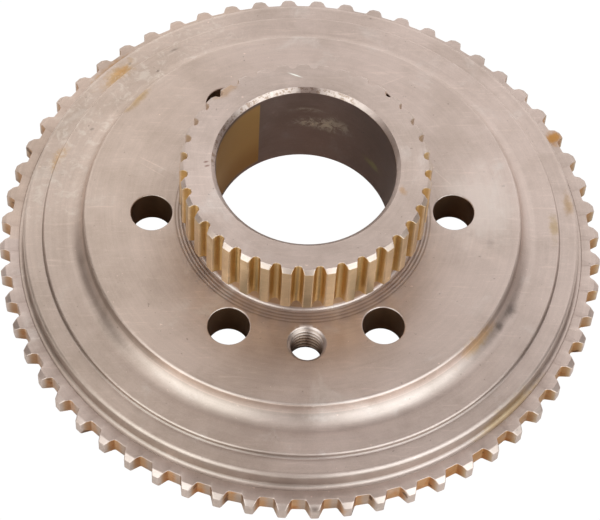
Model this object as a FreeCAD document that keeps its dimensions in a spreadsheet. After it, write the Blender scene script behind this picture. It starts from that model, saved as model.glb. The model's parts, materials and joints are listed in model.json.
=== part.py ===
"""Splined drive hub: a dished flange with a toothed rim shrunk on and a splined collar pressed in.

Millimetres, +Z up along the shaft axis. The origin is on the axis, in the plane of the underside
of the rim. A bolt hole lies on +X and the tapped jacking hole lies on -Y.
"""
import FreeCAD, Part
import os

import Sketcher
from FreeCAD import Placement, Rotation, Vector

SIZES = {
    # toothed rim
    "rim_tip_radius": 96.84,
    "rim_root_radius": 93.6,
    "rim_seat_radius": 90.6,
    "rim_top": 6.7,
    "rim_chamfer_radius": 95.24,
    "rim_chamfer_height": 5.1,
    "rim_teeth": 60,
    "rim_gap_floor_half": 2.1,
    "rim_gap_mouth_half": 4.25,
    "rim_mouth_radius": 97.4,
    "rim_root_fillet": 0.8,
    "rim_tip_round": 0.3,
    "rim_turn": -1.8,
    # steps of the flange's upper side, from the rim inwards
    "rim_step_radius": 89.05,
    "rim_step_round": 1.45,
    "lower_band_top": 12.9,
    "band_step_radius": 82.6,
    "band_step_round": 0.8,
    "upper_band_top": 14.8,
    "disc_radius": 69.5,
    "disc_top": 22.3,
    "disc_edge_round": 0.95,
    "disc_foot_fillet": 6.2,
    "neck_radius": 35.75,
    "neck_top": 28.9,
    "neck_foot_fillet": 0.8,
    # underside of the flange
    "web_bottom": 9.0,
    "recess_radius": 64.0,
    "recess_fillet": 4.0,
    "recess_edge_break": 1.0,
    "relief_radius": 35.0,
    "relief_roof": 12.9,
    # holes through the disc
    "pitch_circle_radius": 48.0,
    "bolt_hole_radius": 6.5,
    "bolt_hole_mouth": 6.85,
    "bolt_hole_count": 6,
    "jack_hole_radius": 6.0,
    "jack_hole_mouth": 6.3,
    "hole_shoulder": 21.95,
    # splined collar and the sleeve that carries it
    "collar_tip_radius": 39.16,
    "collar_top": 49.6,
    "collar_chamfer_radius": 37.85,
    "collar_chamfer_height": 48.1,
    "collar_teeth": 36,
    "collar_root_radius": 36.7,
    "collar_gap_floor_half": 0.87,
    "collar_gap_mouth_half": 2.3,
    "collar_mouth_radius": 39.7,
    "collar_root_fillet": 1.3,
    "collar_turn": 5.0,
    "sleeve_radius": 32.5,
    "sleeve_edge_break": 0.4,
    "bore_radius": 28.0,
    "bore_chamfer": 1.4,
    "bore_foot_chamfer": 0.5,
}
TOLERANCE = 0.01

doc = FreeCAD.newDocument("SplinedDriveHub")


def make_sheet():
    """Keep the driving dimensions in a spreadsheet, one aliased cell each."""
    sheet = doc.addObject("Spreadsheet::Sheet", "Sizes")
    for row, (alias, value) in enumerate(SIZES.items(), start=1):
        sheet.set("A%d" % row, alias)
        sheet.set("B%d" % row, str(value))
        sheet.setAlias("B%d" % row, alias)
    doc.recompute()


def bind(feature, name, alias):
    """Drive one property of a feature from a spreadsheet cell."""
    feature.setExpression(name, "Sizes." + alias)


def add_body(label):
    """A body that carries its sub-part's name as its label."""
    body = doc.addObject("PartDesign::Body", label)
    body.Label = label
    return body


def add_sketch(body, name, role):
    """An empty sketch on one of the body's own origin planes."""
    sketch = body.newObject("Sketcher::SketchObject", name)
    plane = next(item for item in body.Origin.OriginFeatures if item.Role == role)
    sketch.AttachmentSupport = [(plane, "")]
    sketch.MapMode = "FlatFace"
    return sketch


def split_sign(term):
    """The alias in a signed coordinate term, with its sign."""
    if term.startswith("-"):
        return term[1:], -1
    return term, 1


def place_of(term):
    """The value of a coordinate term: None is zero, and a leading minus mirrors the alias."""
    if term is None:
        return 0.0
    alias, sign = split_sign(term)
    return sign * SIZES[alias]


def pin(sketch, line, kind, axis, term):
    """Hold a line's start on an axis, or at a driving dimension from the sketch's origin."""
    if term is None:
        sketch.addConstraint(Sketcher.Constraint("PointOnObject", line, 1, axis))
        return
    alias, sign = split_sign(term)
    index = sketch.addConstraint(Sketcher.Constraint(kind, -1, 1, line, 1, place_of(term)))
    sketch.setExpression("Constraints[%d]" % index, ("-" if sign < 0 else "") + "Sizes." + alias)


def add_outline(body, name, role, corners):
    """A closed outline of straight sides whose corners are pinned to driving dimensions."""
    sketch = add_sketch(body, name, role)
    points = [Vector(place_of(x), place_of(y), 0) for x, y in corners]
    count = len(points)
    for i in range(count):
        sketch.addGeometry(Part.LineSegment(points[i], points[(i + 1) % count]))
    for i in range(count):
        sketch.addConstraint(Sketcher.Constraint("Coincident", i, 2, (i + 1) % count, 1))
    for i, (x, y) in enumerate(corners):
        pin(sketch, i, "DistanceX", -2, x)
        pin(sketch, i, "DistanceY", -1, y)
    return sketch


def add_revolution(body, name, corners):
    """A solid turned about the shaft axis from a section given as radius and height."""
    sketch = add_outline(body, name + "Section", "XZ_Plane", corners)
    turned = body.newObject("PartDesign::Revolution", name)
    turned.Profile = sketch
    turned.ReferenceAxis = (sketch, ["V_Axis"])
    turned.Angle = 360
    doc.recompute()
    return turned


def add_groove(body, name, corners, role="XZ_Plane", shift=None):
    """A cut turned about the sketch's upright axis, which can be shifted along the plane."""
    before = body.Shape.Volume
    sketch = add_outline(body, name + "Section", role, corners)
    if shift:
        sketch.setExpression("AttachmentOffset.Base.x", shift)
    cut = body.newObject("PartDesign::Groove", name)
    cut.Profile = sketch
    cut.ReferenceAxis = (sketch, ["V_Axis"])
    cut.Angle = 360
    doc.recompute()
    expect_less(body, name, before)
    return cut


def add_pattern(body, feature, count_alias):
    """Repeat a cut evenly round the shaft axis."""
    before = body.Shape.Volume
    pattern = body.newObject("PartDesign::PolarPattern", feature.Name + "Pattern")
    axis = next(item for item in body.Origin.OriginFeatures if item.Role == "Z_Axis")
    pattern.Originals = [feature]
    pattern.Axis = (axis, [""])
    pattern.Angle = 360
    bind(pattern, "Occurrences", count_alias)
    body.Tip = pattern
    doc.recompute()
    expect_less(body, pattern.Name, before)
    return pattern


def expect_less(body, name, before):
    """A cut that takes nothing away is a mistake in its direction or place."""
    if body.Shape.Volume > before - TOLERANCE:
        raise RuntimeError(name + " removes nothing")


def round_edges(body, name, base, edges, alias):
    """A fillet whose radius is a driving dimension."""
    if not edges:
        raise RuntimeError(name + " finds no edge")
    fillet = body.newObject("PartDesign::Fillet", name)
    fillet.Base = (base, edges)
    bind(fillet, "Radius", alias)
    doc.recompute()
    return fillet


def chamfer_edges(body, name, base, edges, alias):
    """A 45 degree chamfer whose leg is a driving dimension."""
    if not edges:
        raise RuntimeError(name + " finds no edge")
    chamfer = body.newObject("PartDesign::Chamfer", name)
    chamfer.Base = (base, edges)
    bind(chamfer, "Size", alias)
    doc.recompute()
    return chamfer


def circle_edges(feature, radius_alias, height_alias=None):
    """The names of the round edges about the shaft axis at one radius and height."""
    height = place_of(height_alias)
    names = []
    for number, edge in enumerate(feature.Shape.Edges, start=1):
        if not isinstance(edge.Curve, Part.Circle):
            continue
        centre = edge.Curve.Center
        on_axis = Vector(centre.x, centre.y, 0).Length < TOLERANCE
        right_size = abs(edge.Curve.Radius - SIZES[radius_alias]) < TOLERANCE
        if on_axis and right_size and abs(centre.z - height) < TOLERANCE:
            names.append("Edge%d" % number)
    return names


def upright_edges(feature, low, high):
    """The names of the straight edges along the shaft axis between two radii."""
    names = []
    for number, edge in enumerate(feature.Shape.Edges, start=1):
        if not isinstance(edge.Curve, Part.Line) or abs(edge.Curve.Direction.z) < 1 - TOLERANCE:
            continue
        foot = edge.Vertexes[0].Point
        if low < Vector(foot.x, foot.y, 0).Length < high:
            names.append("Edge%d" % number)
    return names


def add_tooth_gap(body, name, floor_radius, mouth_radius, floor_half, mouth_half, top):
    """One gap between two teeth, cut downwards through the teeth."""
    before = body.Shape.Volume
    corners = [
        (floor_radius, "-" + floor_half),
        (mouth_radius, "-" + mouth_half),
        (mouth_radius, mouth_half),
        (floor_radius, floor_half),
    ]
    sketch = add_outline(body, name + "Outline", "XY_Plane", corners)
    sketch.setExpression("AttachmentOffset.Base.z", "Sizes." + top)
    gap = body.newObject("PartDesign::Pocket", name)
    gap.Profile = sketch
    bind(gap, "Length", top)
    doc.recompute()
    expect_less(body, name, before)
    return gap


def turn_body(body, alias):
    """Set where the teeth stand round the shaft axis."""
    body.Placement = Placement(Vector(0, 0, 0), Rotation(Vector(0, 0, 1), SIZES[alias]))
    body.setExpression("Placement.Rotation.Angle", "Sizes." + alias)


def make_rim():
    """The ring of outer teeth, shrunk on to the edge of the flange."""
    body = add_body("toothed_rim")
    add_revolution(body, "RimBlank", [
        ("rim_seat_radius", None),
        ("rim_tip_radius", None),
        ("rim_tip_radius", "rim_top"),
        ("rim_seat_radius", "rim_top"),
    ])
    gap = add_tooth_gap(body, "RimGap", "rim_root_radius", "rim_mouth_radius",
                        "rim_gap_floor_half", "rim_gap_mouth_half", "rim_top")
    teeth = add_pattern(body, gap, "rim_teeth")
    tip = SIZES["rim_tip_radius"]
    root = SIZES["rim_root_radius"]
    middle = (tip + root) / 2
    roots = round_edges(body, "RimRoots", teeth, upright_edges(teeth, root - 1, middle),
                        "rim_root_fillet")
    round_edges(body, "RimTips", roots, upright_edges(roots, middle, tip + 1), "rim_tip_round")
    add_groove(body, "RimChamfer", [
        ("rim_chamfer_radius", "rim_top"),
        ("rim_tip_radius", "rim_chamfer_height"),
        ("rim_mouth_radius", "rim_chamfer_height"),
        ("rim_mouth_radius", "rim_top"),
    ])
    turn_body(body, "rim_turn")
    return body


def make_flange():
    """The dished flange: bolting disc, two bands, seat for the rim and neck under the collar."""
    body = add_body("hub_flange")
    blank = add_revolution(body, "FlangeBlank", [
        ("recess_radius", None),
        ("rim_seat_radius", None),
        ("rim_seat_radius", "rim_top"),
        ("rim_step_radius", "rim_top"),
        ("rim_step_radius", "lower_band_top"),
        ("band_step_radius", "lower_band_top"),
        ("band_step_radius", "upper_band_top"),
        ("disc_radius", "upper_band_top"),
        ("disc_radius", "disc_top"),
        ("neck_radius", "disc_top"),
        ("neck_radius", "neck_top"),
        ("sleeve_radius", "neck_top"),
        ("sleeve_radius", "relief_roof"),
        ("relief_radius", "relief_roof"),
        ("relief_radius", "web_bottom"),
        ("recess_radius", "web_bottom"),
    ])
    roundings = [
        ("RimStepTop", "rim_step_radius", "lower_band_top", "rim_step_round"),
        ("RimStepFoot", "rim_step_radius", "rim_top", "rim_step_round"),
        ("BandStepFoot", "band_step_radius", "lower_band_top", "band_step_round"),
        ("BandStepTop", "band_step_radius", "upper_band_top", "band_step_round"),
        ("DiscEdge", "disc_radius", "disc_top", "disc_edge_round"),
        ("DiscFoot", "disc_radius", "upper_band_top", "disc_foot_fillet"),
        ("NeckFoot", "neck_radius", "disc_top", "neck_foot_fillet"),
        ("RecessCorner", "recess_radius", "web_bottom", "recess_fillet"),
    ]
    last = blank
    for name, radius, height, size in roundings:
        last = round_edges(body, name, last, circle_edges(last, radius, height), size)
    chamfer_edges(body, "RecessEdge", last, circle_edges(last, "recess_radius"),
                  "recess_edge_break")
    bolt_hole = add_hole(body, "BoltHole", "XZ_Plane", "Sizes.pitch_circle_radius",
                         "bolt_hole_radius", "bolt_hole_mouth")
    add_pattern(body, bolt_hole, "bolt_hole_count")
    add_hole(body, "JackHole", "YZ_Plane", "-Sizes.pitch_circle_radius",
             "jack_hole_radius", "jack_hole_mouth")
    return body


def add_hole(body, name, role, shift, radius, mouth):
    """A plain hole through the disc with a broken edge at its upper mouth."""
    return add_groove(body, name, [
        (None, "web_bottom"),
        (radius, "web_bottom"),
        (radius, "hole_shoulder"),
        (mouth, "disc_top"),
        (None, "disc_top"),
    ], role, shift)


def make_collar():
    """The splined collar with the sleeve that is pressed down through the flange."""
    body = add_body("splined_collar")
    blank = add_revolution(body, "CollarBlank", [
        ("bore_radius", "relief_roof"),
        ("sleeve_radius", "relief_roof"),
        ("sleeve_radius", "neck_top"),
        ("collar_tip_radius", "neck_top"),
        ("collar_tip_radius", "collar_top"),
        ("bore_radius", "collar_top"),
    ])
    mouth = chamfer_edges(body, "BoreMouth", blank,
                          circle_edges(blank, "bore_radius", "collar_top"), "bore_chamfer")
    foot = chamfer_edges(body, "BoreFoot", mouth,
                         circle_edges(mouth, "bore_radius", "relief_roof"), "bore_foot_chamfer")
    chamfer_edges(body, "SleeveFoot", foot,
                  circle_edges(foot, "sleeve_radius", "relief_roof"), "sleeve_edge_break")
    gap = add_tooth_gap(body, "SplineGap", "collar_root_radius", "collar_mouth_radius",
                        "collar_gap_floor_half", "collar_gap_mouth_half", "collar_top")
    teeth = add_pattern(body, gap, "collar_teeth")
    root = SIZES["collar_root_radius"]
    round_edges(body, "SplineRoots", teeth, upright_edges(teeth, root - 1, root + 1),
                "collar_root_fillet")
    add_groove(body, "CollarChamfer", [
        ("collar_chamfer_radius", "collar_top"),
        ("collar_tip_radius", "collar_chamfer_height"),
        ("collar_mouth_radius", "collar_chamfer_height"),
        ("collar_mouth_radius", "collar_top"),
    ])
    turn_body(body, "collar_turn")
    return body


def check_document():
    """Stop if any object of the document has failed."""
    for item in doc.Objects:
        if "Invalid" in item.State or "Error" in item.State:
            raise RuntimeError("%s is %s" % (item.Name, item.State))


def export(body):
    """Write one sub-part's solid under its node's name."""
    shape = body.Shape
    if shape.isNull() or not shape.isValid() or len(shape.Solids) != 1:
        raise RuntimeError(body.Label + " is not one valid solid")
    shape.exportStep("parts/%s.step" % body.Label)
    print("%-16s volume %9.1f mm3" % (body.Label, shape.Volume))


make_sheet()
bodies = [make_rim(), make_flange(), make_collar()]
doc.recompute()
check_document()
os.makedirs("parts", exist_ok=True)
for part_body in bodies:
    export(part_body)
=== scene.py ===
"""Studio scene for the splined drive hub: worn, lightly oiled steel on a plain pale floor."""
import json
import math

import bmesh
import bpy
import numpy as np
from mathutils import Matrix, Vector, geometry


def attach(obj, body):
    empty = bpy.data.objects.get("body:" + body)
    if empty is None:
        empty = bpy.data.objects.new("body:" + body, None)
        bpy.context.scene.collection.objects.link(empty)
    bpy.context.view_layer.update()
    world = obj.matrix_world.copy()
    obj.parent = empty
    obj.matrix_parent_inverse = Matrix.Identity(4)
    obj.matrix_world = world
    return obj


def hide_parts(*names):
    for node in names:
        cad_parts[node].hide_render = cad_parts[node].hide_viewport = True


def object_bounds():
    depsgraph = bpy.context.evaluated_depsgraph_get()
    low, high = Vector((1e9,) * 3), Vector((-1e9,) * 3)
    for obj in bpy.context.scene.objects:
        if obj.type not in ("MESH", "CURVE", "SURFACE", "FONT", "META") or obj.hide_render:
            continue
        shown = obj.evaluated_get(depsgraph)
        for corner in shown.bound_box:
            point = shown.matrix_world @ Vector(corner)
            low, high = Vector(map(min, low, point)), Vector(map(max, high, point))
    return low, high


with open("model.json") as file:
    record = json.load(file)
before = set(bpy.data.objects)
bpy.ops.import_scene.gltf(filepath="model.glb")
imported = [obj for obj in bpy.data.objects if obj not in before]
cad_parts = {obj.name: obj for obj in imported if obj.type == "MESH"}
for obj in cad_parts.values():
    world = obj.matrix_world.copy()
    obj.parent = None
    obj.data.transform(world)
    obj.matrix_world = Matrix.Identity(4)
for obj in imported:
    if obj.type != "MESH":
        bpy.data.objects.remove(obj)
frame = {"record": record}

CAD_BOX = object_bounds()
MOUNTS = {mount["name"]: mount for mount in frame["record"]["mounts"]}
MM = 0.001

# radii and heights of the CAD, in millimetres
RIM_TIP = 96.84
RIM_BEVEL_TIP = 95.24
RIM_BEVEL_FOOT = 5.1
RIM_TOP = 6.7
RIM_SEAT = 90.6
RIM_STEP = 89.05
RIM_STEP_ROUND = 1.45
LOWER_BAND_TOP = 12.9
BAND_STEP = 82.6
BAND_STEP_ROUND = 0.8
UPPER_BAND_TOP = 14.8
DISC = 69.5
DISC_TOP = 22.3
DISC_EDGE_ROUND = 0.95
DISC_FOOT_FILLET = 6.2
NECK = 35.75
NECK_TOP = 28.9
NECK_FOOT_FILLET = 0.8
RECESS = 64.0
RECESS_ROOF = 9.0
RECESS_FILLET = 4.0
RELIEF = 35.0
RELIEF_ROOF = 12.9
SLEEVE = 32.5
BORE = MOUNTS["shaft_bore"]["dims"]["r_mm"]
BORE_BEVEL = 1.4
COLLAR_TIP = 39.16
COLLAR_BEVEL_TIP = 37.85
COLLAR_BEVEL_FOOT = 48.1
COLLAR_TOP = 49.6
BOLT_CIRCLE = MOUNTS["hub_bolts"]["dims"]["pcd_mm"] / 2
BOLT_COUNT = MOUNTS["hub_bolts"]["dims"]["count"]
BOLT_HOLE = MOUNTS["hub_bolts"]["dims"]["hole_r_mm"]
JACK_CENTRE = (0.0, MOUNTS["jack_thread"]["pos_m"][1] / MM)
THREAD_MAJOR = MOUNTS["jack_thread"]["dims"]["r_mm"]
THREAD_MINOR = 5.05
THREAD_PITCH = 1.75
THREAD_TOP_MOUTH = 6.25
THREAD_FOOT_MOUTH = 6.9

# the flat rings that the holes are cut in, and the fine turned rings between the disc and the neck
DISC_FLAT = DISC - 1.1
ROOF_START = RELIEF + 0.5
ROOF_END = RECESS - RECESS_FILLET
RING_COUNT = 4
RING_PITCH = 1.1
RING_START = NECK + NECK_FOOT_FILLET
RING_END = RING_START + RING_COUNT * RING_PITCH

# the splines, in millimetres: how far out a gap's floor and mouth are, their half widths, and how far
# the corners are cut back; turn is the angle of the first gap, in degrees
RIM_TEETH = {
    "count": 60, "turn": -1.8, "root": 93.6, "floor_half": 2.1, "mouth": 97.4,
    "mouth_half": 4.25, "root_cut": 0.55, "tip_cut": 0.34,
}
COLLAR_TEETH = {
    "count": 36, "turn": 5.0, "root": 36.7, "floor_half": 0.87, "mouth": 39.7,
    "mouth_half": 2.3, "root_cut": 0.84, "tip_cut": 0.26,
}

# the camera: it looks at a pivot on the shaft axis, at the disc's top, and is then turned a little
VIEW_AZIMUTH = math.radians(-4.726)
VIEW_ELEVATION = math.radians(57.408)
VIEW_ROLL = math.radians(-3.940)
VIEW_PAN = math.radians(0.064)
VIEW_TILT = math.radians(-1.044)
VIEW_PIVOT = (0, 0, MOUNTS["hub_bolts"]["pos_m"][2])
VIEW_DISTANCE = 0.83155
VIEW_LENS = 157.14


# ---------------------------------------------------------------- node helpers
class Tree:
    """Short ways to add and join shader nodes."""

    def __init__(self, tree):
        self.tree = tree
        tree.nodes.clear()

    def add(self, kind, **settings):
        """A new node with its settings."""
        node = self.tree.nodes.new(kind)
        for name, value in settings.items():
            setattr(node, name, value)
        return node

    def put(self, socket, value):
        """A socket takes either another socket or a plain value."""
        if isinstance(value, bpy.types.NodeSocket):
            self.tree.links.new(value, socket)
        elif value is not None:
            socket.default_value = value

    def math(self, operation, a, b=None):
        """A sum, difference or other operation on one or two numbers."""
        node = self.add("ShaderNodeMath", operation=operation)
        for socket, value in zip(node.inputs, (a, b)):
            self.put(socket, value)
        return node.outputs[0]

    def product(self, first, *others):
        """All the values, multiplied."""
        for other in others:
            first = self.math("MULTIPLY", first, other)
        return first

    def step(self, value, low, high, start=0.0, end=1.0):
        """A smooth step from start at low to end at high."""
        node = self.add("ShaderNodeMapRange", interpolation_type="SMOOTHSTEP")
        if low > high:
            low, high, start, end = high, low, end, start
        for socket, item in zip(node.inputs, (value, low, high, start, end)):
            self.put(socket, item)
        return node.outputs[0]

    def band(self, value, low, high, soft):
        """One between low and high, fading to zero over soft."""
        rising = self.step(value, low - soft, low)
        falling = self.step(value, high + soft, high)
        return self.product(rising, falling)

    def mix(self, factor, a, b, blend="MIX"):
        """A colour between a and b, or their product where blend says so."""
        node = self.add("ShaderNodeMix", data_type="RGBA", blend_type=blend)
        self.put(node.inputs[0], factor)
        self.put(node.inputs[6], a)
        self.put(node.inputs[7], b)
        return node.outputs[2]

    def blend(self, factor, a, b):
        """A plain number between a and b."""
        node = self.add("ShaderNodeMix", data_type="FLOAT")
        self.put(node.inputs[0], factor)
        self.put(node.inputs[2], a)
        self.put(node.inputs[3], b)
        return node.outputs[0]

    def noise(self, vector, scale, detail, roughness, distortion=0.0):
        """A noise from zero to one, finer as its scale goes up."""
        node = self.add("ShaderNodeTexNoise")
        self.put(node.inputs["Vector"], vector)
        node.inputs["Scale"].default_value = scale
        node.inputs["Detail"].default_value = detail
        node.inputs["Roughness"].default_value = roughness
        node.inputs["Distortion"].default_value = distortion
        return node.outputs[0]

    def length(self, vector):
        """How long a vector is."""
        node = self.add("ShaderNodeVectorMath", operation="LENGTH")
        self.put(node.inputs[0], vector)
        return node.outputs["Value"]

    def shift_by(self, vector, offset):
        """A place moved by an offset."""
        node = self.add("ShaderNodeVectorMath", operation="ADD")
        self.put(node.inputs[0], vector)
        node.inputs[1].default_value = offset
        return node.outputs[0]

    def shift(self, vector, amount):
        """Another part of the same noise."""
        return self.shift_by(vector, (amount, amount, amount))

    def split(self, vector):
        """The three parts of a vector."""
        node = self.add("ShaderNodeSeparateXYZ")
        self.put(node.inputs[0], vector)
        return node.outputs

    def join(self, x, y, z):
        """A vector from its three parts."""
        node = self.add("ShaderNodeCombineXYZ")
        for socket, value in zip(node.inputs, (x, y, z)):
            self.put(socket, value)
        return node.outputs[0]


def grey(value):
    """A colour without a hue."""
    return (value, value, value, 1.0)


# ---------------------------------------------------------------- camera, light and floor
def place_camera():
    """The camera that matches the photo."""
    back = Vector((0, -math.cos(VIEW_ELEVATION), math.sin(VIEW_ELEVATION)))
    right = Vector((1, 0, 0))
    up = back.cross(right)
    location = back * VIEW_DISTANCE
    for angle, axis in ((VIEW_ROLL, "look"), (VIEW_PAN, "up"), (VIEW_TILT, "right")):
        pivot = {"look": -back, "up": up, "right": right}[axis]
        turn = Matrix.Rotation(angle, 3, pivot)
        aim = turn @ -back
        right = turn @ right
        up = turn @ up
        back = -aim
    round_axis = Matrix.Rotation(VIEW_AZIMUTH, 4, "Z")
    columns = Matrix((right, up, back)).transposed().to_4x4()
    placed = round_axis @ Matrix.Translation(location) @ columns
    data = bpy.data.cameras.new("camera")
    data.lens = VIEW_LENS
    data.sensor_width = 36.0
    data.clip_start = 0.05
    data.clip_end = 50.0
    camera = bpy.data.objects.new("camera", data)
    camera.matrix_world = Matrix.Translation(VIEW_PIVOT) @ placed
    bpy.context.scene.collection.objects.link(camera)
    bpy.context.scene.camera = camera


def light_studio():
    """A light tent: two broad bright sides in front, a dim gap between them and a dim low back.

    A direction's x runs to the camera's right, y away from the camera and z up.
    """
    roof_level, box_level, column_level = 0.30, 2.60, 0.08
    world = bpy.data.worlds.new("studio")
    world.use_nodes = True
    bpy.context.scene.world = world
    t = Tree(world.node_tree)
    turned = t.add("ShaderNodeVectorRotate", rotation_type="Z_AXIS")
    t.put(turned.inputs["Vector"], t.add("ShaderNodeTexCoord").outputs["Generated"])
    turned.inputs["Angle"].default_value = -VIEW_AZIMUTH
    x, y, z = t.split(turned.outputs[0])
    side = t.math("ABSOLUTE", t.math("SUBTRACT", x, 0.02))
    # the tent brightens upwards, and dims a little again near its top
    level = t.step(z, 0.60, 0.80, 1.20, 1.46)
    level = t.product(level, t.step(z, 0.79, 0.87, 1.0, 0.90))
    # a dim roof straight overhead
    roof = t.math("ABSOLUTE", t.math("SUBTRACT", x, 0.09))
    roof = t.product(t.step(z, 0.815, 0.91), t.step(roof, 0.58, 0.14))
    level = t.blend(roof, level, roof_level)
    # the two bright sides in front, left and right
    reach = t.math("SUBTRACT", y, t.product(x, 0.13))
    boxes = t.product(t.step(side, 0.12, 0.34), t.step(reach, -0.20, -0.50), t.step(z, 0.97, 0.80))
    level = t.blend(boxes, level, box_level)
    # the gap between them, which is darkest low down
    gap = t.product(t.step(side, 0.26, 0.08), t.step(y, 0.02, -0.22))
    level = t.blend(gap, level, t.step(z, 0.50, 0.86, 0.14, 0.75))
    # a dark low column on the left and on the right
    columns = t.product(t.step(side, 0.58, 0.78), t.band(y, -0.14, 0.34, 0.16))
    columns = t.product(columns, t.step(z, 0.72, 0.50))
    level = t.blend(columns, level, column_level)
    # bright light is a little cooler than dim light
    tint = t.join(level, t.math("POWER", level, 1.15), t.math("POWER", level, 1.20))
    rays = t.add("ShaderNodeLightPath")
    background = t.add("ShaderNodeBackground")
    t.put(background.inputs["Color"], t.mix(rays.outputs["Is Camera Ray"], tint, grey(1.0)))
    output = t.add("ShaderNodeOutputWorld")
    t.put(output.inputs["Surface"], background.outputs[0])


def lay_floor():
    """A wide plain floor that reads as white and sends only a little light back up."""
    half = 6.0
    gap = 0.0002
    mesh = bpy.data.meshes.new("floor")
    corners = [(-half, -half, 0), (half, -half, 0), (half, half, 0), (-half, half, 0)]
    mesh.from_pydata(corners, [], [(0, 1, 2, 3)])
    floor = bpy.data.objects.new("floor", mesh)
    floor.location.z = CAD_BOX[0].z - gap
    bpy.context.scene.collection.objects.link(floor)
    material = bpy.data.materials.new("floor_paper")
    material.use_nodes = True
    t = Tree(material.node_tree)
    paper = t.add("ShaderNodeBsdfDiffuse")
    paper.inputs["Color"].default_value = (0.80, 0.77, 0.74, 1.0)
    glow = t.add("ShaderNodeEmission")
    glow.inputs["Color"].default_value = grey(1.0)
    glow.inputs["Strength"].default_value = 1.02
    seen = t.add("ShaderNodeMixShader")
    t.put(seen.inputs[0], t.add("ShaderNodeLightPath").outputs["Is Camera Ray"])
    t.put(seen.inputs[1], paper.outputs[0])
    t.put(seen.inputs[2], glow.outputs[0])
    t.put(t.add("ShaderNodeOutputMaterial").inputs["Surface"], seen.outputs[0])
    mesh.materials.append(material)


# ---------------------------------------------------------------- shapes
def corner_points(before, corner, after, cut, steps):
    """A soft corner: a curve from a distance of cut before the corner to the same distance after it."""
    before, corner, after = (np.array(p, float) for p in (before, corner, after))
    # a short line is never used up by its corner
    start = corner + (before - corner) * min(0.95, cut / np.linalg.norm(before - corner))
    end = corner + (after - corner) * min(0.60, cut / np.linalg.norm(after - corner))
    shares = np.linspace(0, 1, steps + 1)
    return [(1 - s) ** 2 * start + 2 * s * (1 - s) * corner + s * s * end for s in shares]


def rounded(corners):
    """A section as (radius, height) points, from corners of radius, height, rounding and steps."""
    path = []
    for i, (radius, height, rounding, steps) in enumerate(corners):
        corner = np.array((radius, height), float)
        if not rounding:
            path.append(corner)
            continue
        before = np.array(corners[i - 1][:2], float) - corner
        after = np.array(corners[i + 1][:2], float) - corner
        before /= np.linalg.norm(before)
        after /= np.linalg.norm(after)
        half = math.acos(max(-1, min(1, float(before @ after)))) / 2
        centre = corner + (before + after) / np.linalg.norm(before + after) * rounding / math.sin(half)
        start = corner + before * rounding / math.tan(half) - centre
        end = corner + after * rounding / math.tan(half) - centre
        sweep = math.pi - 2 * half
        side = 1 if start[0] * end[1] - start[1] * end[0] > 0 else -1
        for s in np.linspace(0, 1, steps + 1):
            turn = side * sweep * s
            cos, sin = math.cos(turn), math.sin(turn)
            path.append(centre + (start[0] * cos - start[1] * sin, start[0] * sin + start[1] * cos))
    return path


def round_loops(path, angles):
    """One loop of points round the shaft axis for each point of a section."""
    loops = np.empty((len(path), len(angles), 3))
    for i, (radius, height) in enumerate(path):
        loops[i, :, 0] = radius * np.cos(angles)
        loops[i, :, 1] = radius * np.sin(angles)
        loops[i, :, 2] = height
    return loops


def skin(loops, closed=False):
    """The faces that join each loop to the next."""
    rows, columns = loops.shape[:2]
    faces = []
    for i in range(rows if closed else rows - 1):
        low = i * columns
        high = (i + 1) % rows * columns
        for j in range(columns):
            k = (j + 1) % columns
            faces.append((low + j, low + k, high + k, high + j))
    return faces


def make_mesh(name, points, faces):
    """A smooth closed mesh, in metres, from points in millimetres."""
    same_point = 2e-7
    mesh = bpy.data.meshes.new(name)
    mesh.from_pydata((np.asarray(points) * MM).tolist(), [], faces)
    sculpt = bmesh.new()
    sculpt.from_mesh(mesh)
    bmesh.ops.remove_doubles(sculpt, verts=sculpt.verts, dist=same_point)
    bmesh.ops.recalc_face_normals(sculpt, faces=sculpt.faces)
    sculpt.to_mesh(mesh)
    sculpt.free()
    mesh.shade_smooth()
    piece = bpy.data.objects.new(name, mesh)
    bpy.context.scene.collection.objects.link(piece)
    flat = piece.modifiers.new("flat_faces", "WEIGHTED_NORMAL")
    flat.mode = "FACE_AREA"
    flat.weight = 100
    return piece


def tooth_half(teeth, tip):
    """Half a tooth, from the middle of its gap's floor to the middle of its tip, as polar points."""
    pitch = 2 * math.pi / teeth["count"]
    floor = np.array((teeth["root"], teeth["floor_half"]))
    mouth = np.array((teeth["mouth"], teeth["mouth_half"]))
    along = (mouth - floor) / np.linalg.norm(mouth - floor)
    reach = -(floor @ along) + math.sqrt((floor @ along) ** 2 - floor @ floor + tip**2)
    corner = floor + along * reach
    edge = math.atan2(corner[1], corner[0])
    middle = pitch / 2
    after = tip * np.array((math.cos((edge + middle) / 2), math.sin((edge + middle) / 2)))
    points = [np.array((teeth["root"], 0.0))]
    points += corner_points(points[0], floor, corner, teeth["root_cut"], 8)
    # one point on the flank keeps both of its corners short
    points.append(floor + along * reach * 0.62)
    points += corner_points(points[-1], corner, after, teeth["tip_cut"], 4)
    polar = [(math.hypot(*p), math.atan2(p[1], p[0])) for p in points]
    for share in (0.5, 1.0):
        polar.append((tip, polar[-1][1] * (1 - share) + middle * share))
    return polar


def tooth_outline(teeth, tip):
    """The whole toothed outline, as points round the shaft axis."""
    pitch = 2 * math.pi / teeth["count"]
    half = tooth_half(teeth, tip)
    tooth = half + [(radius, pitch - angle) for radius, angle in reversed(half[1:-1])]
    start = math.radians(teeth["turn"])
    outline = []
    for k in range(teeth["count"]):
        for radius, angle in tooth:
            turned = start + k * pitch + angle
            outline.append((radius * math.cos(turned), radius * math.sin(turned)))
    return np.array(outline)


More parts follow.
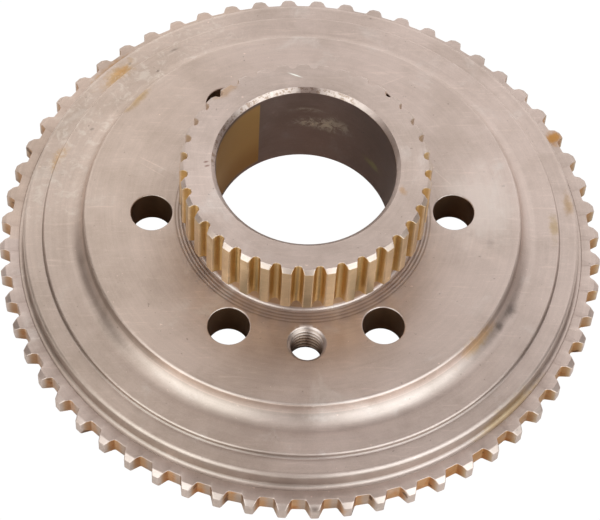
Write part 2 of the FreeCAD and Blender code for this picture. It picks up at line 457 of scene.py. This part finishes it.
def toothed_loops(teeth, layers):
    """A loop of the toothed outline for each layer, given as tip radius, inset and height."""
    loops = []
    for tip, inset, height in layers:
        flat = tooth_outline(teeth, tip)
        run = np.roll(flat, -1, axis=0) - np.roll(flat, 1, axis=0)
        run /= np.linalg.norm(run, axis=1)[:, None]
        flat = flat - np.stack((run[:, 1], -run[:, 0]), axis=1) * inset
        loops.append(np.column_stack((flat, np.full(len(flat), height))))
    return np.array(loops)


def loop_angles(loop):
    """The angle of each point of a loop, for a round wall whose points face the teeth's."""
    return np.arctan2(loop[:, 1], loop[:, 0])


def make_rim():
    """The toothed ring, with broken edges all round its teeth, whose tops fall a little outwards."""
    edge = RIM_TOP - 0.14
    layers = [
        (RIM_BEVEL_TIP - 0.05, 0.24, edge),
        (RIM_BEVEL_TIP + 0.01, 0.08, edge - 0.05),
        (RIM_BEVEL_TIP + 0.12, 0.0, edge - 0.16),
        (RIM_TIP - 0.12, 0.0, RIM_BEVEL_FOOT + 0.12),
        (RIM_TIP, 0.0, RIM_BEVEL_FOOT - 0.08),
        (RIM_TIP, 0.0, 0.16),
        (RIM_TIP - 0.04, 0.01, 0.05),
        (RIM_TIP - 0.12, 0.05, 0.0),
    ]
    toothed = toothed_loops(RIM_TEETH, layers)
    angles = loop_angles(toothed[4])
    seat = [
        (RIM_SEAT + 0.15, 0.0),
        (RIM_SEAT + 0.02, 0.12),
        (RIM_SEAT + 0.02, RIM_TOP - 0.10),
        (RIM_SEAT + 0.05, RIM_TOP - 0.03),
        (RIM_SEAT + 0.14, RIM_TOP - 0.01),
    ]
    loops = np.concatenate((round_loops(seat, angles), toothed))
    return make_mesh("toothed_rim_worn", loops.reshape(-1, 3), skin(loops, closed=True))


def make_collar():
    """The splined collar, with its sleeve and bore."""
    layers = [
        (COLLAR_BEVEL_TIP, 0.18, COLLAR_TOP),
        (COLLAR_BEVEL_TIP + 0.03, 0.05, COLLAR_TOP - 0.04),
        (COLLAR_BEVEL_TIP + 0.12, 0.0, COLLAR_TOP - 0.14),
        (COLLAR_TIP - 0.10, 0.0, COLLAR_BEVEL_FOOT + 0.10),
        (COLLAR_TIP, 0.0, COLLAR_BEVEL_FOOT - 0.08),
        (COLLAR_TIP, 0.0, NECK_TOP + 0.25),
        (COLLAR_TIP - 0.08, 0.03, NECK_TOP + 0.08),
        (COLLAR_TIP - 0.22, 0.14, NECK_TOP),
    ]
    toothed = toothed_loops(COLLAR_TEETH, layers)
    angles = loop_angles(toothed[4])
    inside = rounded([
        (NECK - 0.15, NECK_TOP, 0, 0),
        (SLEEVE - 0.02, NECK_TOP, 0, 0),
        (SLEEVE - 0.02, RELIEF_ROOF + 0.4, 0, 0),
        (SLEEVE - 0.40, RELIEF_ROOF, 0, 0),
        (BORE + 0.5, RELIEF_ROOF, 0.1, 2),
        (BORE, RELIEF_ROOF + 0.5, 0.2, 2),
        (BORE, COLLAR_TOP - BORE_BEVEL, 0.35, 3),
        (BORE + BORE_BEVEL, COLLAR_TOP, 0.18, 3),
        (BORE + 2 * BORE_BEVEL, COLLAR_TOP, 0, 0),
    ])
    loops = np.concatenate((round_loops(inside, angles), toothed))
    return make_mesh("splined_collar_worn", loops.reshape(-1, 3), skin(loops, closed=True))


def circle(centre, radius, steps):
    """The points of a circle, seen from above."""
    turns = np.arange(steps) * 2 * math.pi / steps
    return np.column_stack((centre[0] + radius * np.cos(turns), centre[1] + radius * np.sin(turns)))


def pierced_ring(inner, outer, height, holes, angles):
    """A flat ring with round holes, each given as centre, radius and steps."""
    outlines = [
        np.column_stack((radius * np.cos(angles), radius * np.sin(angles)))
        for radius in (inner, outer)
    ]
    outlines += [circle(*hole) for hole in holes]
    points = [Vector(p) for outline in outlines for p in outline]
    edges = []
    first = 0
    for outline in outlines:
        count = len(outline)
        edges += [(first + i, first + (i + 1) % count) for i in range(count)]
        first += count
    flat, _, triangles, *_ = geometry.delaunay_2d_cdt(points, edges, [], 0, 1e-7)
    kept = []
    for triangle in triangles:
        middle = sum((flat[i] for i in triangle), Vector((0, 0))) / 3
        in_hole = any((middle - Vector(centre)).length < radius for centre, radius, _ in holes)
        if inner < middle.length < outer and not in_hole:
            kept.append(tuple(triangle))
    return np.array([(p.x, p.y, height) for p in flat]), kept


def hole_loops(centre, path, steps):
    """The wall of a hole, from (radius, height) points down its depth."""
    loops = [np.column_stack((circle(centre, r, steps), np.full(steps, z))) for r, z in path]
    return np.array(loops)


def thread_loops(centre, top, bottom, steps):
    """The wall of a tapped hole: a coarse right-hand thread between two countersinks."""
    rows = 150
    # where the crest ends and the root begins, as shares of half a pitch
    crest, root = 0.12, 0.94
    # how fast the countersinks close with depth
    top_slope = 1.04
    foot_mouth, foot_slope = 6.6, 0.72
    turns = np.arange(steps) / steps
    loops = np.empty((rows, steps, 3))
    for i, z in enumerate(np.linspace(top, bottom, rows)):
        phase = (z / THREAD_PITCH - turns) % 1.0
        rise = np.abs(phase - 0.5) * 2
        cut = np.clip((rise - crest) / (root - crest), 0, 1)
        radius = THREAD_MINOR + (THREAD_MAJOR - THREAD_MINOR) * cut
        radius = np.maximum(radius, THREAD_TOP_MOUTH - (top - z) * top_slope)
        radius = np.maximum(radius, foot_mouth - (z - bottom) * foot_slope)
        loops[i, :, 0] = centre[0] + radius * np.cos(turns * 2 * math.pi)
        loops[i, :, 1] = centre[1] + radius * np.sin(turns * 2 * math.pi)
        loops[i, :, 2] = z
    edge = hole_loops(centre, [(foot_mouth + 0.12, bottom), (THREAD_FOOT_MOUTH, bottom)], steps)
    return np.concatenate((loops, edge))


def flange_outside():
    """The flange's section from its top face, down the steps and round to the recess's roof."""
    return rounded([
        (DISC_FLAT, DISC_TOP, 0, 0),
        (DISC, DISC_TOP, DISC_EDGE_ROUND, 7),
        (DISC, UPPER_BAND_TOP, DISC_FOOT_FILLET, 28),
        (BAND_STEP, UPPER_BAND_TOP, BAND_STEP_ROUND, 7),
        (BAND_STEP, LOWER_BAND_TOP, BAND_STEP_ROUND, 7),
        (RIM_STEP, LOWER_BAND_TOP, RIM_STEP_ROUND, 10),
        (RIM_STEP, RIM_TOP, RIM_STEP_ROUND, 10),
        (RIM_SEAT - 0.01, RIM_TOP, 0.06, 2),
        (RIM_SEAT - 0.02, 0.0, 0.2, 3),
        (RECESS + 1.0, 0.0, 0.1, 1),
        (RECESS, 1.0, 0.1, 1),
        (RECESS, RECESS_ROOF, RECESS_FILLET, 10),
        (ROOF_END, RECESS_ROOF, 0, 0),
    ])


def flange_inside():
    """The flange's section from the recess's roof, up the sleeve's seat and down the neck."""
    ring_steps = 61
    section = rounded([
        (ROOF_START, RECESS_ROOF, 0, 0),
        (RELIEF, RECESS_ROOF, 0.25, 4),
        (RELIEF, RELIEF_ROOF, 0, 0),
        (SLEEVE + 0.02, RELIEF_ROOF, 0, 0),
        (SLEEVE + 0.02, NECK_TOP, 0, 0),
        (NECK, NECK_TOP, 0.15, 3),
        (NECK, DISC_TOP, NECK_FOOT_FILLET, 8),
        (RING_START, DISC_TOP, 0, 0),
    ])
    # the fine turned rings round the neck, which fade outwards
    for step in range(1, ring_steps + 1):
        share = step / ring_steps
        wave = 0.5 - 0.5 * math.cos(2 * math.pi * RING_COUNT * share)
        depth = 0.075 - 0.045 * share
        radius = RING_START + RING_COUNT * RING_PITCH * share
        section.append(np.array((radius, DISC_TOP - depth * wave)))
    return section


def make_flange():
    """The flange: turned surfaces, two pierced flat rings, bolt holes and the tapped hole."""
    angles = np.arange(360) * math.radians(1)
    top, bottom = DISC_TOP, RECESS_ROOF
    bolt_turns = [2 * math.pi * k / BOLT_COUNT for k in range(BOLT_COUNT)]
    bolt_centres = [(BOLT_CIRCLE * math.cos(turn), BOLT_CIRCLE * math.sin(turn)) for turn in bolt_turns]
    bolt_wall = [
        (BOLT_HOLE + 0.38, top),
        (BOLT_HOLE + 0.22, top - 0.06),
        (BOLT_HOLE + 0.06, top - 0.20),
        (BOLT_HOLE, top - 0.42),
        (BOLT_HOLE, bottom + 0.30),
        (BOLT_HOLE + 0.04, bottom + 0.12),
        (BOLT_HOLE + 0.14, bottom + 0.03),
        (BOLT_HOLE + 0.28, bottom),
    ]
    bolt_steps, jack_steps = 72, 96
    top_holes = [(centre, bolt_wall[0][0], bolt_steps) for centre in bolt_centres]
    top_holes.append((JACK_CENTRE, THREAD_TOP_MOUTH, jack_steps))
    bottom_holes = [(centre, bolt_wall[-1][0], bolt_steps) for centre in bolt_centres]
    bottom_holes.append((JACK_CENTRE, THREAD_FOOT_MOUTH, jack_steps))
    walls = [round_loops(flange_outside(), angles), round_loops(flange_inside(), angles)]
    walls += [hole_loops(centre, bolt_wall, bolt_steps) for centre in bolt_centres]
    walls.append(thread_loops(JACK_CENTRE, top, bottom, jack_steps))
    parts = [(loops.reshape(-1, 3), skin(loops)) for loops in walls]
    parts.append(pierced_ring(RING_END, DISC_FLAT, top, top_holes, angles))
    parts.append(pierced_ring(ROOF_START, ROOF_END, bottom, bottom_holes, angles))
    points, faces = [], []
    for part_points, part_faces in parts:
        faces += [tuple(i + len(points) for i in face) for face in part_faces]
        points += list(part_points)
    return make_mesh("hub_flange_worn", points, faces)


# ---------------------------------------------------------------- steel
class Steel:
    """Turned steel, lightly oiled. Its colour and roughness grow as details are added.

    Places are in millimetres and angles in degrees, about the shaft axis.
    """

    LIGHT = (0.595, 0.470, 0.415, 1.0)
    DARK = (0.480, 0.374, 0.322, 1.0)
    BLOOM = (0.680, 0.590, 0.540, 1.0)

    def __init__(self, name):
        self.material = bpy.data.materials.new(name)
        self.material.use_nodes = True
        self.t = t = Tree(self.material.node_tree)
        place = t.add("ShaderNodeTexCoord")
        scaled = t.add("ShaderNodeVectorMath", operation="SCALE")
        t.put(scaled.inputs[0], place.outputs["Object"])
        scaled.inputs["Scale"].default_value = 1 / MM
        self.spot = scaled.outputs[0]
        self.x, self.y, self.z = t.split(self.spot)
        self.radius = t.length(t.join(self.x, self.y, 0.0))
        self.angle = t.product(t.math("ARCTAN2", self.y, self.x), 180 / math.pi)
        # upright is one on walls, and sideways is one where a wall faces round the shaft axis
        facing = t.split(place.outputs["Normal"])
        self.upright = t.step(t.math("ABSOLUTE", facing[2]), 0.75, 0.25)
        swing = t.math("SUBTRACT", t.product(facing[0], self.y), t.product(facing[1], self.x))
        self.sideways = t.math("ABSOLUTE", t.math("DIVIDE", swing, self.radius))
        # the noises, from the broadest to the finest, and two that follow the turning marks
        self.blotch = t.noise(self.spot, 0.030, 5.0, 0.60)
        self.mottle = t.noise(self.spot, 0.16, 5.0, 0.62)
        self.fine = t.noise(self.spot, 0.55, 4.0, 0.7)
        self.grain = t.noise(self.spot, 2.6, 2.0, 0.6)
        self.streak = t.noise(self.along_groove(0.9), 1.0, 4.0, 0.7)
        self.groove = t.noise(self.along_groove(5.0), 1.0, 2.0, 0.6)
        # colour: blotches, a pale bloom, turning marks, rubs, grain, dark pits and bright flecks
        tone = t.math("ADD", t.product(self.blotch, 0.75), t.product(self.mottle, 0.25))
        self.colour = t.mix(t.step(tone, 0.36, 0.62), self.DARK, self.LIGHT)
        bloom = t.step(t.noise(self.spot, 0.055, 6.0, 0.66, 0.6), 0.56, 0.72)
        self.colour = t.mix(t.product(bloom, 0.60), self.colour, self.BLOOM)
        self.shade(t.step(self.streak, 0.30, 0.70), 0.965, 1.035)
        for turn, seed in ((24.0, 3.0), (-52.0, 11.0), (78.0, 29.0)):
            self.shade(t.step(self.strokes(turn, seed), 0.60, 0.74), 1.0, 1.10)
        self.shade(t.step(self.grain, 0.25, 0.75), 0.96, 1.04)
        pit = t.step(t.noise(self.spot, 0.75, 2.0, 0.5), 0.72, 0.78)
        self.shade(pit, 1.0, 0.72)
        fleck = t.step(t.noise(t.shift(self.spot, 40.0), 0.62, 2.0, 0.5), 0.735, 0.78)
        self.shade(fleck, 1.0, 1.30)
        self.rough = t.math("ADD", 0.345, t.product(self.mottle, 0.09))
        self.rough = t.math("ADD", self.rough, t.product(bloom, 0.05))
        self.rough = t.math("ADD", self.rough, t.product(self.groove, 0.05))

    def strokes(self, turn, seed):
        """Faint straight rubs that lie one way across the turning marks."""
        t = self.t
        local = t.add("ShaderNodeMapping", vector_type="POINT")
        t.put(local.inputs["Vector"], t.shift(self.spot, seed))
        local.inputs["Rotation"].default_value = (0, 0, math.radians(turn))
        local.inputs["Scale"].default_value = (0.07, 0.85, 0.2)
        return t.noise(local.outputs[0], 1.0, 3.0, 0.65, 0.3)

    def along_groove(self, scale):
        """A place that changes quickly across the turning marks and slowly along them."""
        t = self.t
        across = t.product(t.math("SUBTRACT", self.radius, self.z), scale)
        round_x = t.product(t.math("DIVIDE", self.x, self.radius), 2.2)
        round_y = t.product(t.math("DIVIDE", self.y, self.radius), 2.2)
        return t.join(across, round_x, round_y)

    def from_jack(self):
        """The distance from the tapped hole's axis."""
        t = self.t
        return t.length(t.shift_by(t.join(self.x, self.y, 0.0), (0.0, -JACK_CENTRE[1], 0.0)))

    def shade(self, factor, low, high):
        """Darken or lighten from low to high, as shares, as factor goes from zero to one."""
        t = self.t
        self.colour = t.mix(1.0, self.colour, t.mix(factor, grey(low), grey(high)), "MULTIPLY")

    def film(self, factor, tint):
        """A thin transparent film that tints the metal."""
        t = self.t
        self.colour = t.mix(1.0, self.colour, t.mix(factor, grey(1.0), (*tint, 1.0)), "MULTIPLY")

    def cover(self, factor, colour):
        """Something on the metal that hides its colour as factor goes to one."""
        self.colour = self.t.mix(factor, self.colour, (*colour, 1.0))

    def sector(self, low, high, soft):
        """One between two angles in degrees, from -180 to 180."""
        return self.t.band(self.angle, low, high, soft)

    def patch(self, centre, size, turn=0.0, ragged=0.9):
        """A ragged oval patch: its centre and half sizes in millimetres, and its turn in degrees."""
        t = self.t
        local = t.add("ShaderNodeMapping", vector_type="TEXTURE")
        t.put(local.inputs["Vector"], self.spot)
        local.inputs["Location"].default_value = centre
        local.inputs["Rotation"].default_value = (0, 0, math.radians(turn))
        local.inputs["Scale"].default_value = size
        away = t.length(local.outputs[0])
        broad = t.product(t.math("SUBTRACT", self.mottle, 0.5), ragged * 2.0)
        fine = t.product(t.math("SUBTRACT", self.fine, 0.5), ragged * 1.1)
        torn = t.math("ADD", broad, fine)
        return t.step(t.math("ADD", away, torn), 1.20, 0.15)

    def finish(self):
        """Join the colour, the roughness and the relief to a brushed metal."""
        t = self.t
        surface = t.add("ShaderNodeBsdfPrincipled")
        surface.inputs["Metallic"].default_value = 1.0
        # the turning marks run round the shaft axis, so highlights spread across them
        surface.inputs["Anisotropic"].default_value = 0.55
        surface.inputs["Anisotropic Rotation"].default_value = 0.25
        tangent = t.add("ShaderNodeTangent", direction_type="RADIAL", axis="Z")
        t.put(surface.inputs["Tangent"], tangent.outputs[0])
        t.put(surface.inputs["Base Color"], self.colour)
        t.put(surface.inputs["Roughness"], self.rough)
        height = t.product(self.groove, 0.0016)
        for noise, amount in ((self.streak, 0.0060), (self.grain, 0.0012), (self.mottle, 0.0100)):
            height = t.math("ADD", height, t.product(noise, amount))
        bump = t.add("ShaderNodeBump")
        bump.inputs["Strength"].default_value = 1.0
        bump.inputs["Distance"].default_value = MM
        t.put(bump.inputs["Height"], height)
        t.put(surface.inputs["Normal"], bump.outputs[0])
        t.put(t.add("ShaderNodeOutputMaterial").inputs["Surface"], surface.outputs[0])
        return self.material


OIL = (0.92, 0.66, 0.34)
STRAW = (0.98, 0.81, 0.53)


def rim_steel():
    """Bright teeth, with old yellow oil on the floors and flanks of the gaps."""
    s = Steel("rim_steel_worn")
    t = s.t
    deep = t.step(s.radius, RIM_TIP - 0.54, RIM_TIP - 2.54)
    patchy = t.step(t.noise(t.shift(s.spot, 7.0), 0.11, 3.0, 0.6), 0.30, 0.52)
    oil = t.product(s.upright, deep, t.blend(patchy, 0.55, 1.0))
    # at the front left, one side of each gap is nearly clean of oil, and that wall carries painted
    # shade
    pitch = 360 / RIM_TEETH["count"]
    turned = t.math("ADD", s.angle, 360 - RIM_TEETH["turn"])
    within = t.math("MODULO", t.math("ADD", turned, pitch / 2), pitch)
    clean_and_shaded_wall = t.step(within, pitch / 2 - 0.7, pitch / 2 + 0.7)
    clean_and_shaded_wall = t.product(s.sector(-172.0, -82.0, 10.0), clean_and_shaded_wall)
    oil = t.product(oil, t.blend(clean_and_shaded_wall, 1.0, 0.15))
    # painted shade: a grey darkening on that wall of each gap at the front left
    s.film(t.product(clean_and_shaded_wall, s.upright, deep), (0.86, 0.84, 0.80))
    front = s.sector(-128.0, -58.0, 22.0)
    s.film(t.product(oil, t.blend(front, 0.45, 1.0)), (0.97, 0.68, 0.38))
    right = t.product(s.sector(-58.0, 25.0, 14.0), t.blend(patchy, 0.5, 1.0))
    below_tip = t.step(s.radius, RIM_TIP - 0.04, RIM_TIP - 0.64)
    s.film(t.product(s.upright, right, below_tip), (0.90, 0.80, 0.58))
    flank = t.product(s.upright, t.step(s.sideways, 0.25, 0.80))
    s.film(t.product(flank, t.step(s.radius, RIM_TIP - 0.09, RIM_TIP - 1.84)), (0.78, 0.64, 0.47))
    rusty = t.step(t.noise(t.shift(s.spot, 23.0), 0.22, 3.0, 0.6), 0.52, 0.66)
    s.film(t.product(rusty, oil), (0.92, 0.72, 0.50))
    # dark spots on some tooth flanks
    dark_flank_spots = t.step(t.noise(t.shift(s.spot, 61.0), 0.19, 2.0, 0.5), 0.64, 0.70)
    s.film(t.product(dark_flank_spots, flank), (0.40, 0.33, 0.26))
    s.film(t.product(s.sector(105.0, 175.0, 12.0), 0.35), (0.98, 0.88, 0.72))
    # single stains: one at the right, one at the back left and a rusty one on a tooth in front; a dark
    # spot on that tooth is painted shade of a dent
    s.film(s.patch((84.9, 39.3, 6.0), (4.4, 3.0, 4.0), 25.0, 0.9), (0.92, 0.58, 0.22))
    s.film(t.product(s.patch((-61.0, 68.0, RIM_TOP), (9.0, 2.2, 3.0), 42.0), 0.7), OIL)
    s.film(s.patch((9.4, -95.3, 2.9), (2.8, 2.4, 3.0), 0.0, 0.5), (0.84, 0.48, 0.12))
    # painted shade: a dark spot standing for the shade in a dent on the front tooth
    s.film(s.patch((1.9, -96.0, 5.1), (1.9, 1.3, 1.3), 0.0, 0.3), (0.32, 0.29, 0.27))
    return s.finish()


def stain_flange(s):
    """Oil stains, dark smudges, clean rubs and scratches: centre, half sizes, turn and strength."""
    stains = (
        ((-59.6, 59.6, LOWER_BAND_TOP), (8.5, 3.4, 3.0), 46.0, STRAW, 1.00),
        ((-57.6, 62.2, LOWER_BAND_TOP), (4.0, 1.4, 3.0), 44.0, STRAW, 0.60),
        ((-52.2, 43.9, 22.0), (6.5, 1.7, 1.2), 50.0, (0.84, 0.72, 0.47), 0.90),
        ((-77.8, 26.0, LOWER_BAND_TOP), (2.9, 7.0, 3.0), -19.0, STRAW, 1.00),
        ((86.6, 9.0, LOWER_BAND_TOP), (2.0, 5.2, 2.0), 5.0, (0.80, 0.70, 0.53), 1.00),
        ((81.0, -1.2, UPPER_BAND_TOP), (2.1, 5.4, 2.0), 0.0, (0.84, 0.78, 0.60), 1.00),
        ((53.6, -44.8, 18.5), (11.0, 2.0, 5.0), 49.0, (0.98, 0.82, 0.56), 1.00),
        ((64.2, -62.8, 8.5), (23.0, 2.2, 4.5), 45.0, (0.97, 0.84, 0.52), 0.80),
    )
    for centre, size, turn, tint, strength in stains:
        s.film(s.t.product(s.patch(centre, size, turn), strength), tint)
    smudges = (
        ((64.4, -32.4, 15.5), (3.6, 2.5, 3.0), 60.0, 0.48, 0.90),
        ((60.8, -38.4, 16.5), (2.0, 1.7, 3.0), 60.0, 0.50, 0.90),
        ((-60.0, -40.5, 16.0), (2.6, 9.0, 3.0), 33.0, 0.72, 0.60),
        ((-72.4, 39.6, 13.4), (1.5, 0.8, 1.2), 60.0, 0.42, 0.90),
        ((-67.7, 37.0, UPPER_BAND_TOP), (0.9, 0.6, 1.0), 30.0, 0.50, 0.90),
        ((-55.6, 64.5, LOWER_BAND_TOP), (0.9, 0.6, 1.0), 40.0, 0.50, 0.90),
        ((-41.0, 68.9, UPPER_BAND_TOP), (1.8, 0.5, 1.0), 30.0, 0.58, 0.80),
        ((-46.3, 60.3, UPPER_BAND_TOP), (0.7, 0.5, 1.0), 30.0, 0.55, 0.90),
        ((59.0, -11.5, DISC_TOP), (1.6, 1.8, 1.0), 0.0, 0.80, 0.80),
    )
    for centre, size, turn, level, strength in smudges:
        s.film(s.t.product(s.patch(centre, size, turn, 0.7), strength), grey(level)[:3])
    rubs = (
        ((52.6, -11.6, DISC_TOP), (5.4, 3.2, 1.0), -30.0),
        ((58.8, -16.4, DISC_TOP), (6.6, 2.6, 1.0), -42.0),
    )
    for centre, size, turn in rubs:
        s.shade(s.patch(centre, size, turn, 0.6), 1.0, 1.10)
    scratches = (
        ((-47.3, 18.4, DISC_TOP), (7.6, 0.28, 0.6), -31.0, 1.16),
        ((-47.4, 15.9, DISC_TOP), (6.4, 0.24, 0.6), -35.0, 1.14),
        ((45.4, 13.0, DISC_TOP), (5.8, 0.24, 0.6), -48.0, 1.15),
        ((30.5, 51.0, DISC_TOP), (6.0, 0.22, 0.6), 24.0, 1.12),
    )
    for centre, size, turn, level in scratches:
        s.shade(s.patch(centre, size, turn, 0.25), 1.0, level)


def age_steps(s):
    """The whitish left side, a warm tint to the left, painted shade towards the front, the far left, in
    two sectors of the bands and along the feet of the step walls, and a painted highlight on one wall.
    """
    t = s.t
    rough_side = t.product(s.sector(112.0, 172.0, 16.0), t.step(s.radius, DISC - 1.5, DISC + 1.5))
    whitish = t.step(t.noise(t.shift(s.spot, 90.0), 0.26, 5.0, 0.72, 0.8), 0.50, 0.66)
    s.cover(t.product(whitish, rough_side, 0.50), (0.72, 0.63, 0.57))
    s.film(t.step(s.x, 10.0, -60.0), (1.0, 0.985, 0.940))
    # painted shade: darker towards the front and the far left, lighter at the back
    s.shade(t.step(s.y, 50.0, -30.0), 1.045, 0.94)
    s.shade(t.step(s.x, -62.0, -82.0), 1.0, 0.94)
    # painted shade: the band flats darkened in a sector at the front left and one at the front right
    shaded_sectors = t.math("ADD", s.sector(-172.0, -122.0, 12.0), s.sector(-72.0, -32.0, 12.0))
    on_bands = t.product(t.step(s.radius, DISC + 0.4, DISC + 2.0), t.step(s.upright, 0.4, 0.1))
    s.shade(t.product(shaded_sectors, on_bands), 1.0, 0.95)
    # painted shade: a grey line down each step wall, just outside its edge
    walls = (
        (DISC, UPPER_BAND_TOP + 0.7, DISC_TOP - 0.7, 0.80),
        (BAND_STEP - 0.05, LOWER_BAND_TOP + 0.2, UPPER_BAND_TOP - 0.3, 0.74),
        (RIM_STEP - 0.05, RIM_TOP + 0.5, LOWER_BAND_TOP - 1.0, 0.80),
    )
    for inner, low, high, level in walls:
        wall_foot_shade = t.product(t.band(s.radius, inner, inner + 0.45, 0.12), t.band(s.z, low, high, 0.3))
        s.film(wall_foot_shade, grey(level)[:3])
    # painted highlight: the disc's edge wall at the front made half again as light
    painted_light_wall = t.band(s.z, DISC_TOP - 4.8, DISC_TOP - 0.8, 0.8)
    painted_light_wall = t.product(t.band(s.radius, DISC, DISC + 0.4, 0.4), painted_light_wall)
    s.shade(t.product(painted_light_wall, s.sector(-124.0, -40.0, 12.0)), 1.0, 1.50)


def age_neck(s):
    """Painted shade in the turned rings, down the tapped hole and in its thread valleys, oil on the
    neck, dark bolt-hole walls, and a pale cloud on the disc.
    """
    t = s.t
    # painted shade: the turned rings darkened along a wave across them
    painted_ring_shade = t.math("SUBTRACT", s.radius, RING_START + 0.27)
    painted_ring_shade = t.math("SINE", t.product(painted_ring_shade, 2 * math.pi / RING_PITCH))
    on_rings = t.band(s.radius, RING_START + 0.15, RING_END - 0.35, 0.3)
    on_rings = t.product(on_rings, t.step(s.z, DISC_TOP + 0.7, DISC_TOP + 0.3))
    s.film(t.product(t.step(painted_ring_shade, -0.9, 0.9), on_rings), (0.74, 0.72, 0.70))
    neck = t.product(s.upright, t.band(s.radius, NECK - 0.45, NECK + 0.25, 0.1))
    s.film(t.product(neck, t.step(s.z, DISC_TOP + 0.9, DISC_TOP + 1.9)), (0.78, 0.60, 0.40))
    cloud = s.patch((56.0, 4.0, DISC_TOP), (13.0, 17.0, 2.0), 8.0, 1.0)
    s.cover(t.product(cloud, 0.40), (0.72, 0.62, 0.56))
    in_holes = t.product(s.upright, t.band(s.radius, BOLT_CIRCLE - 7.0, BOLT_CIRCLE + 7.2, 0.2))
    below_edge = t.step(s.z, DISC_TOP - 0.05, DISC_TOP - 0.4)
    in_jack = t.step(s.from_jack(), THREAD_MAJOR + 0.5, THREAD_MAJOR + 0.3)
    in_bolt_holes = t.product(in_holes, below_edge, t.math("SUBTRACT", 1.0, in_jack))
    s.film(in_bolt_holes, (0.44, 0.29, 0.17))
    # painted shade: the tapped hole darker with depth
    depth = t.product(in_jack, t.step(s.z, DISC_TOP - 0.9, DISC_TOP - 6.8))
    s.film(t.product(depth, 0.9), (0.42, 0.33, 0.26))
    # painted shade: darker thread valleys below the hole's mouth
    thread_valley_shade = t.step(s.from_jack(), THREAD_MINOR + 0.10, THREAD_MAJOR - 0.25)
    below_mouth = t.step(s.z, DISC_TOP - 0.7, DISC_TOP - 1.9)
    s.film(t.product(in_jack, thread_valley_shade, below_mouth), (0.42, 0.32, 0.24))


def flange_steel():
    """Fine turned faces with a few oil stains, smears and marks, and dark bolt holes."""
    s = Steel("flange_steel_worn")
    stain_flange(s)
    age_steps(s)
    age_neck(s)
    return s.finish()


def collar_steel():
    """Brown oil in the spline grooves and a dark bore, partly oxide and partly painted shade, with an
    old oil patch.
    """
    s = Steel("collar_steel_worn")
    t = s.t
    # the splines, which are cleaner at the back
    to_front = t.step(s.y, 16.0, -4.0, 0.25, 1.0)
    root = COLLAR_TEETH["root"]
    outside = t.product(s.upright, t.step(s.radius, root - 0.3, root + 0.1))
    deep = t.step(s.radius, COLLAR_TIP - 0.21, COLLAR_TIP - 0.96)
    groove = t.product(outside, deep, t.step(s.z, COLLAR_TOP - 0.2, COLLAR_TOP - 0.7), to_front)
    s.film(t.product(outside, to_front), (1.14, 1.01, 0.70))
    s.film(groove, (0.84, 0.74, 0.48))
    s.film(t.product(groove, t.step(s.sideways, 0.35, 0.80)), (0.95, 0.90, 0.80))
    # the bore: darkened partly as oxide and partly as painted shade, with an oil patch that has sharp
    # sides, smears and a greenish streak
    bore = t.product(s.upright, t.step(s.radius, BORE + 0.6, BORE + 0.3))
    # partly oxide, partly painted shade: the whole bore darkened
    s.film(bore, (0.62, 0.54, 0.52))
    # painted shade: the right-hand part of the bore darker still
    s.film(t.product(bore, s.sector(-20.0, 48.0, 30.0)), (0.74, 0.74, 0.74))
    oil = t.product(bore, s.sector(119.7, 171.0, 0.7), t.band(s.z, 16.0, 46.0, 1.8))
    s.cover(oil, (0.66, 0.375, 0.135))
    s.film(t.product(oil, t.step(s.z, 30.0, 17.0)), (0.80, 0.72, 0.62))
    smear = t.product(bore, t.step(t.noise(s.spot, 0.35, 5.0, 0.7, 1.2), 0.40, 0.56))
    for centre, size, turn, strength in (
        ((3.5, 27.8, 32.0), (7.5, 4.0, 3.4), -8.0, 1.00),
        ((10.0, 26.2, 33.0), (7.0, 4.0, 4.4), -20.0, 0.75),
        ((2.0, 27.9, 39.0), (7.0, 3.0, 1.6), 0.0, 0.50),
    ):
        s.cover(t.product(smear, s.patch(centre, size, turn), strength), (0.74, 0.62, 0.48))
    streak = s.patch((22.4, 16.8, 24.8), (4.6, 1.8, 2.2), -53.0)
    s.cover(t.product(streak, 0.85), (0.36, 0.31, 0.15))
    # the top face and the bore's chamfer
    s.film(t.product(s.patch((29.4, -9.4, COLLAR_TOP), (1.3, 2.3, 1.0), 15.0), 0.55), OIL)
    s.film(t.product(s.patch((-24.5, 28.0, COLLAR_TOP), (5.0, 2.4, 1.0), 40.0), 0.45), OIL)
    lead_in = t.band(s.radius, BORE + 0.1, BORE + BORE_BEVEL - 0.1, 0.08)
    chafed = t.step(t.noise(s.spot, 0.9, 3.0, 0.7), 0.48, 0.60)
    s.film(t.product(lead_in, chafed, s.sector(60.0, 179.0, 8.0)), (0.62, 0.54, 0.48))
    s.film(t.product(lead_in, s.sector(83.0, 91.0, 4.0)), (0.55, 0.50, 0.48))
    for centre in ((-30.9, 1.1, COLLAR_TOP), (-30.6, -0.4, COLLAR_TOP)):
        nick = s.patch(centre, (1.0, 0.42, 1.0), 15.0, 0.4)
        s.film(t.product(nick, 0.85), (0.42, 0.30, 0.28))
    # one bright scratch at the back
    s.cover(s.patch((-2.6, 33.9, COLLAR_TOP), (2.7, 0.34, 0.6), -22.0, 0.2), (0.98, 0.96, 0.88))
    return s.finish()


bpy.context.scene.view_settings.view_transform = "Standard"
place_camera()
light_studio()
lay_floor()
PIECES = (
    ("toothed_rim", "rim_steel", make_rim(), rim_steel()),
    ("hub_flange", "flange_steel", make_flange(), flange_steel()),
    ("splined_collar", "collar_steel", make_collar(), collar_steel()),
)
for node_name, slot_name, piece, material in PIECES:
    piece.data.materials.append(material)
    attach(piece, "root")
    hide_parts(node_name)
